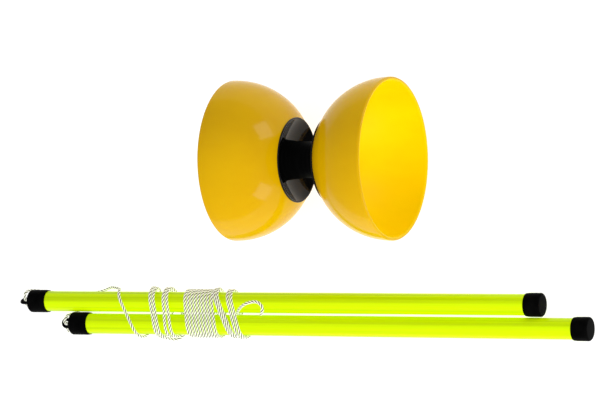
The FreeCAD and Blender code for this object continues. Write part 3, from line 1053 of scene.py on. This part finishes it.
    def drum(self) -> None:
        """The waisted sleeve with eased ends."""
        low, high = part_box("axle_drum")
        half = (high[0] - low[0]) / 2
        end_out = (high[2] - low[2]) / 2
        curve = self.drum_curve
        bore = self.bearing_seat
        reach = math.asin(half / curve)
        top = end_out + curve * math.cos(reach)
        waist = arc((0.0, top), curve, -math.pi / 2 - reach, -math.pi / 2 + reach, 40)
        corners = [(x, out, 0.0) for x, out in waist[1:-1]]
        near = self.seat_start
        shoulder = self.drum_shoulder
        corners = [(-half, end_out, 0.6), *corners, (half, end_out, 0.6), (half, bore, 0.4),
                   (near, bore, 0.0), (near, shoulder, 0.2), (-near, shoulder, 0.2), (-near, bore, 0.0),
                   (-half, bore, 0.4)]
        dress(turned("string_drum", softened(corners), self.centre, Facing.RIGHT, 160), self.matte,
              self.drum_body, ["axle_drum"])


@dataclass
class Bearings:
    """The two ball bearings and the sleeves that space them, which keep their CAD shapes."""

    def build(self) -> None:
        """Give each piece its steel."""
        ground = Steel("ground_bearing_steel", (0.78, 0.78, 0.8), (0.68, 0.68, 0.7), 0.1,
                       (0.05, 1, 1))
        pressed = Steel("pressed_sheet_steel", (0.6, 0.57, 0.52), (0.48, 0.46, 0.42), 0.3,
                        (1, 1, 1))
        sleeve = Steel("turned_sleeve_steel", (0.64, 0.64, 0.64), (0.52, 0.52, 0.5), 0.28,
                       (1, 0.1, 0.1))
        sides = ("left", "right")
        rolling = [f"{side}_{part}" for side in sides for part in ("outer_race", "inner_race", "balls")]
        sheet = [f"{side}_{part}" for side in sides for part in ("ball_cage", "bearing_shields")]
        finish_nodes(rolling, ground.material())
        finish_nodes(sheet, pressed.material())
        finish_nodes(["bearing_spacer", "left_spacer", "right_spacer"], sleeve.material())


# ---------------------------------------------------------------- handsticks

@dataclass
class Handstick:
    """One stick: its tube, the tip cap with its string eye, and the butt cap."""

    name: str
    tube_finish: bpy.types.Material
    cap_finish: bpy.types.Material
    body: str = "stick_set"
    roll: float = 0.0
    tube_wall: float = 1.0 * MM
    cap_wall: float = 2.5 * MM
    cap_step: float = 0.22 * MM
    cap_mouth: float = 1.6 * MM
    cap_shoulder: float = 0.9 * MM
    eye_wire: float = 1.2 * MM
    eye_bend: float = 2.65 * MM
    eye_swell: float = 1.45
    eye_swell_end: float = 1.1

    def __post_init__(self) -> None:
        """Read the stick's place and sizes from the frame."""
        low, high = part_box(f"{self.name}_stick_tube")
        self.axis = middle(f"{self.name}_stick_tube")
        self.tube_radius = (high[2] - low[2]) / 2
        self.tube_span = (low[0], high[0])

    def at(self, x: float) -> Vector:
        """The point of the stick's axis at x."""
        return Vector((x, self.axis.y, self.axis.z))

    def build(self) -> None:
        """Build the four pieces of the stick."""
        self.tube()
        self.cap("tip", Facing.RIGHT)
        self.cap("butt", Facing.LEFT)
        self.eye()

    def tube(self) -> None:
        """The thin-walled tube with eased ends."""
        start, end = self.tube_span
        inner = self.tube_radius - self.tube_wall
        long = end - start
        line = softened([(0.0, inner, 0.1), (long, inner, 0.1), (long, self.tube_radius, 0.3),
                         (0.0, self.tube_radius, 0.3)])
        piece = turned(f"{self.name}_neon_tube", line, self.at(start), Facing.RIGHT, 96)
        dress(piece, self.tube_finish, self.body, [f"{self.name}_stick_tube"])

    def cap(self, end: str, facing: Facing) -> None:
        """A cap with a soft shoulder and a shallow step at its mouth.

        Args:
            end: Which end of the stick it is on, tip or butt.
            facing: Which way along X its mouth points.
        """
        low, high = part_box(f"{self.name}_{end}_cap")
        long = high[0] - low[0]
        out = (high[2] - low[2]) / 2
        face = low[0] if facing is Facing.RIGHT else high[0]
        mouth = long - self.cap_mouth
        lip = out - self.cap_step
        line = softened([
            (0.0, 0.0, 0.0), (self.cap_wall, 0.0, 0.0), (self.cap_wall, self.tube_radius, 0.2),
            (long, self.tube_radius, 0.1), (long, lip, 0.3), (mouth, lip, 0.1),
            (mouth - self.cap_step, out, 0.2), (self.cap_shoulder, out, 0.9),
            (0.0, out - self.cap_shoulder, 0.7)])
        piece = turned(f"{self.name}_{end}_cap_shell", line, self.at(face), facing, 96)
        dress(piece, self.cap_finish, self.body, [f"{self.name}_{end}_cap"])

    def eye(self) -> None:
        """The loop that the string passes through, with a swelling where it leaves the cap."""
        low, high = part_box(f"{self.name}_string_eye")
        across = Vector((0.0, math.cos(self.roll), math.sin(self.roll)))
        bend = self.eye_bend
        tip = low[0] + bend + self.eye_wire
        root = high[0]
        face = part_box(f"{self.name}_tip_cap")[0][0]
        line = [self.at(root) - across * bend]
        line += [self.at(face + part * (tip - face)) - across * bend for part in (0.0, 0.3, 0.6)]
        for turn in (math.pi * step / 16 for step in range(17)):
            spot = self.at(tip - math.sin(turn) * bend)
            line.append(spot - across * (math.cos(turn) * bend))
        line += [self.at(face + part * (tip - face)) + across * bend for part in (0.6, 0.3, 0.0)]
        line.append(self.at(root) + across * bend)
        last = len(line) - 1
        swell = {1: self.eye_swell, 2: self.eye_swell_end,
                 last - 1: self.eye_swell, last - 2: self.eye_swell_end}
        points, faces = tube_parts(line, lambda i: self.eye_wire * swell.get(i, 1.0), 16, 0)
        name = f"{self.name}_string_loop"
        dress(new_piece(name, solid_mesh(name, points, faces), 50.0), self.cap_finish, self.body,
              [f"{self.name}_string_eye"])


# ---------------------------------------------------------------- string


@dataclass(frozen=True)
class Turn:
    """One turn of string round both sticks, in millimetres: where it crosses their outer edges."""

    rear: float
    front: float
    rear_slack: float = 0.25
    front_slack: float = 0.2
    hump: float = 0.0
    sag: tuple[Place, ...] = ()


SAG = ((-108.4, 10.4, 4.6), (-105.5, 11.6, 1.4), (-99.7, 11.2, 1.15), (-95.1, 7.6, 1.15),
       (-94.1, 2.0, 1.15))
REAR_TURNS = (
    Turn(-145.0, -125.4, rear_slack=0.5, front_slack=0.8),
    Turn(-113.5, -107.1, rear_slack=1.7),
    Turn(-104.3, -101.5, rear_slack=1.5, hump=3.0),
    Turn(-86.4, -82.8),
    Turn(-80.9, -77.0),
    Turn(-75.5, -71.2),
    Turn(-70.0, -65.4),
    Turn(-64.4, -59.6),
    Turn(-61.5, -44.5, rear_slack=1.6),
    Turn(-49.5, -38.8, front_slack=0.5),
)
FRONT_TURNS = (
    Turn(-116.1, -110.0, rear_slack=2.2, front_slack=0.6, sag=SAG),
    Turn(-101.8, -96.9, rear_slack=1.8, hump=3.0),
    Turn(-83.7, -79.9),
    Turn(-78.2, -74.1),
    Turn(-72.7, -68.3),
    Turn(-67.3, -62.6),
    Turn(-64.0, -47.3, rear_slack=1.0),
    Turn(-52.4, -41.8, front_slack=0.7),
)


@dataclass
class WoundString:
    """The one string: from the rear eye, round both sticks, a loop at the end, and back."""

    finish: bpy.types.Material
    body: str = "stick_set"
    diameter: float = 2.2 * MM
    steps: int = 5
    lean: float = 0.5
    drift: float = 0.3
    play_mm: float = 0.02
    knot_radius: float = 2.2 * MM
    knot_cord_share: float = 0.66

    def __post_init__(self) -> None:
        """Read where the sticks lie, in millimetres, as the route is written in them."""
        self.rear = middle("rear_stick_tube") / MM
        self.front = middle("front_stick_tube") / MM
        low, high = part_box("rear_stick_tube")
        self.hug = (high[2] - low[2]) / 2 / MM + self.diameter / 2 / MM
        self.rear_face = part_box("rear_tip_cap")[0][0] / MM
        self.front_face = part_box("front_tip_cap")[0][0] / MM
        self.mid = (self.rear.y + self.front.y) / 2
        self.axis_z = self.rear.z
        self.top = self.axis_z + self.hug
        self.low = self.axis_z - self.hug - self.play_mm
        self.out = self.hug / math.cos(math.pi / (2 * self.steps))

    def rear_side(self, turn: Turn, before: float, skip: int = 0) -> Route:
        """Points up the rear of the rear stick, from its underside to its top.

        Args:
            turn: The turn that they are on.
            before: The x that the string comes from, under the sticks.
            skip: Points left out at the start.

        Returns:
            The points.
        """
        points = []
        for step in range(skip, self.steps):
            part = (step + 0.5) / self.steps
            angle = math.pi * part
            swell = self.out + turn.rear_slack * math.sin(angle)
            drift = (before - turn.rear) * max(0.0, 0.5 - part) * self.drift
            lean = (turn.front - turn.rear) * max(0.0, part - 0.5) * self.lean
            points.append((turn.rear + drift + lean, self.rear.y + swell * math.sin(angle),
                           self.axis_z - swell * math.cos(angle)))
        return points

    def front_side(self, turn: Turn, after: float) -> Route:
        """Points down the front of the front stick, from its top to its underside.

        Args:
            turn: The turn that they are on.
            after: The x that the string goes to, under the sticks.

        Returns:
            The points.
        """
        points = []
        for step in range(self.steps):
            part = (step + 0.5) / self.steps
            angle = math.pi * part
            swell = self.out + turn.front_slack * math.sin(angle)
            lean = (turn.rear - turn.front) * max(0.0, 0.5 - part) * self.lean
            drift = (after - turn.front) * max(0.0, part - 0.5) * self.drift
            points.append((turn.front + lean + drift, self.front.y - swell * math.sin(angle),
                           self.axis_z + swell * math.cos(angle)))
        if turn.sag:
            kept = points[:self.steps // 2 + 1]
            return kept + [(x, self.front.y - out, up) for x, out, up in turn.sag]
        return points

    def leg(self, turns: Sequence[Turn], start: float, end: float, skip: int) -> Route:
        """One half of the string's turns, wound rear to front over the top.

        Args:
            turns: The turns in order.
            start: The x that the first one comes from.
            end: The x that the last one leaves to, under the sticks.
            skip: Points left out of the first turn, where the lead comes up to it.

        Returns:
            The points.
        """
        points: Route = []
        before = start
        for number, turn in enumerate(turns):
            after = turns[number + 1].rear if number + 1 < len(turns) else end
            points += self.rear_side(turn, before, skip if number == 0 else 0)
            points.append(((turn.rear + turn.front) / 2, self.mid, self.top))
            points += self.front_side(turn, after)
            if number + 1 < len(turns):
                under = turn.sag[-1][0] if turn.sag else turn.front
                points.append(((under + after) / 2, self.mid, self.low + turn.hump))
                before = under
        return points

    def lead_in(self) -> Route:
        """From the rear knot through its eye, under the cap and the stick, to the first turn."""
        x, y, z, low = self.rear_face, self.rear.y, self.axis_z, self.low
        return [(x - 5.5, y - 2.3, z - 1.6), (x - 5.5, y + 2.8, z + 1.6),
                (x - 4.0, y + 7.4, z + 2.0), (x - 1.6, y + 7.9, z - 4.0), (x + 4.0, y + 7.3, low),
                (x + 24.0, y + 5.8, low), (x + 44.0, y + 5.2, low), (x + 58.0, y + 7.6, low + 0.5),
                (x + 66.0, y + 10.6, low + 3.0), (x + 71.2, y + 10.4, z - 2.6)]

    def lead_back(self) -> Route:
        """From the front knot through its eye and under both sticks to its first turn."""
        x, y, z, low = self.front_face, self.front.y, self.axis_z, self.low
        return [(x - 5.5, y - 4.0, z - 3.2), (x - 5.5, y, z - 3.3), (x - 5.5, y, z + 4.2),
                (x - 3.6, y + 6.2, z + 3.0), (x - 1.6, y + 6.8, z - 4.4), (x + 4.5, y + 11.8, low),
                (x + 17.0, y + 14.6, low), (-145.5, y + 19.0, low), (-135.5, y + 20.8, low),
                (-125.5, y + 22.6, low + 0.5)]

    def bight(self) -> Route:
        """From under the sticks up between them, round the loose loop and down again."""
        y, z, low, top = self.mid, self.axis_z, self.low, self.top
        return [(-33.1, y - 2.0, low), (-28.9, y, z - 4.6), (-25.9, y, z + 2.0),
                (-22.5, y + 0.4, top - 0.8), (-20.4, y + 5.0, top + 0.1), (-24.7, y + 9.4, top + 0.2),
                (-31.5, y + 9.0, top + 0.1), (-37.9, y + 6.4, top - 0.2), (-42.4, y + 3.0, z + 5.8),
                (-45.8, y + 0.2, z + 2.0), (-47.0, y, z - 4.0), (-46.8, y - 2.2, low)]

    def build(self) -> None:
        route = self.lead_in()
        route += self.leg(REAR_TURNS, start=-152.0, end=-35.5, skip=2)
        route += self.bight()
        back = self.lead_back() + self.leg(FRONT_TURNS, start=-118.5, end=-46.8, skip=1)
        route += back[::-1]
        line = smooth_line([Vector(point) * MM for point in route])
        cord = Twist(self.diameter).laid("wound_string", line)
        dress(cord, self.finish, self.body,
              ["rear_string_lead", "front_string_lead", "loose_turns", "main_winding", "end_turns",
               "end_bight"])
        knots = [self.knot("rear", Vector((0.3, -0.6, -0.7))),
                 self.knot("front", Vector((-0.3, -1, -0.3)))]
        log.info("the string is %.3f m long", length_of(line))
        [tuple(point) for point in even(line, self.diameter / 2)]

    def knot(self, stick: str, tail: Vector) -> bpy.types.Object:
        """A small overhand stopper knot with a short tail.

        Args:
            stick: Which stick's eye it is on.
            tail: The way that its tail points.

        Returns:
            The object.
        """
        centre = middle(f"{stick}_string_knot")
        size = self.knot_radius
        turn = tail.to_track_quat("Z", "Y").to_matrix()
        # The line of a trefoil knot, left open where the string comes in and goes out.
        trefoil_share = 0.23
        open_part = 0.03
        steps = 60
        line = []
        for step in range(steps + 1):
            angle = math.tau * (step / steps * (1 - 2 * open_part) + open_part)
            spot = Vector((math.sin(angle) + 2 * math.sin(2 * angle),
                           math.cos(angle) - 2 * math.cos(2 * angle), -1.3 * math.sin(3 * angle)))
            line.append(centre + turn @ (spot * (size * trefoil_share)))
        line.append(line[-1] + turn @ Vector((0.3, 0.2, 1.0)) * size * 0.5)
        line.append(line[-1] + turn @ Vector((0.2, 0.3, 1.0)) * size * 0.6)
        twist = Twist(self.diameter * self.knot_cord_share, gap=0.0003, pitch=0.005)
        piece = twist.laid(f"{stick}_stopper_knot", line)
        return dress(piece, self.finish, self.body, [f"{stick}_string_knot"])


# ---------------------------------------------------------------- studio

@dataclass(frozen=True)
class Softbox:
    """A square lamp: where it hangs, its side, its power in watts and whether gloss shows it."""

    name: str
    place: Place
    wide: float
    power: float
    mirrored: bool


SOFTBOXES = (
    Softbox("key_softbox", (0.05, -1.25, 0.8), 0.55, 15.0, False),
    Softbox("fill_softbox", (-0.2, 0.8, 1.3), 0.5, 6.0, False),
    Softbox("side_softbox", (1.3, -0.5, 0.7), 0.6, 4.5, False),
    Softbox("far_window", (0.9, 0.77, 0.24), 0.45, 3.0, True),
    Softbox("near_window", (0.9, -0.77, 0.24), 0.45, 3.0, True),
)


@dataclass
class Studio:
    """Pale floor, soft white light and the camera, high over the set and a little to its right."""

    tilt: float = math.radians(27.0)
    roll: float = math.radians(0.35)
    lens: float = 204.0
    distance: float = 2.475
    target: Place = (0.0006, -0.0003, 0.0)
    floor_half: float = 3.0
    floor_gap: float = 0.2 * MM
    sky_strength: float = 0.5

    def build(self) -> None:
        """Make the floor, the lights and the camera."""
        self.floor()
        self.sky()
        for box in SOFTBOXES:
            self.softbox(box)
        self.camera()

    def floor(self) -> None:
        """The paper that the set lies on."""
        half = self.floor_half
        corners = [(-half, -half, 0), (half, -half, 0), (half, half, 0), (-half, half, 0)]
        ground = new_piece("studio_floor", solid_mesh("floor", corners, [(0, 1, 2, 3)]))
        ground.data.materials.append(StudioFloor().material())
        ground.location.z = -self.floor_gap

    def sky(self) -> None:
        """Even white light from all round."""
        world = bpy.data.worlds.new("studio_white")
        world.use_nodes = True
        glow = world.node_tree.nodes["Background"].inputs
        glow["Color"].default_value = (1.0, 1.0, 1.0, 1.0)
        glow["Strength"].default_value = self.sky_strength
        bpy.context.scene.world = world

    def softbox(self, box: Softbox) -> None:
        """Hang one lamp so that it faces the set.

        Args:
            box: The lamp.
        """
        lamp = bpy.data.lights.new(box.name, "AREA")
        lamp.shape = "SQUARE"
        lamp.size = box.wide
        lamp.energy = box.power
        lamp.use_shadow = False
        holder = bpy.data.objects.new(box.name, lamp)
        holder.location = box.place
        holder.visible_glossy = box.mirrored
        aim = Vector(self.target) - Vector(box.place)
        holder.rotation_euler = aim.to_track_quat("-Z", "Y").to_euler()
        bpy.context.scene.collection.objects.link(holder)

    def camera(self) -> None:
        """The camera, tipped towards +X, with +Y up in its view."""
        lens = bpy.data.cameras.new("camera")
        lens.lens = self.lens
        lens.sensor_width = 36.0
        holder = bpy.data.objects.new("camera", lens)
        back = Vector((math.sin(self.tilt), 0.0, math.cos(self.tilt)))
        level = Vector((math.cos(self.tilt), 0.0, -math.sin(self.tilt)))
        right = level * math.cos(self.roll) - Vector((0.0, math.sin(self.roll), 0.0))
        up = back.cross(right)
        stand = Matrix.Translation(Vector(self.target) + back * self.distance)
        holder.matrix_world = stand @ Matrix((right, up, back)).transposed().to_4x4()
        bpy.context.scene.collection.objects.link(holder)
        bpy.context.scene.camera = holder
        bpy.context.scene.view_settings.view_transform = "Standard"


def main() -> None:
    """Build the set."""
    logging.basicConfig(level=logging.INFO, format="%(name)s: %(message)s")
    Studio().build()
    string = StringFibre("string_white").material()
    WoundString(string).build()
    Spool().build()
    Bearings().build()
    neon = NeonTube("stick_neon").material()
    black = CapPlastic("cap_black").material()
    for stick, roll in (("rear", -60.0), ("front", 0.0)):
        Handstick(stick, neon, black, roll=math.radians(roll)).build()


if __name__ == "__main__":
    main()
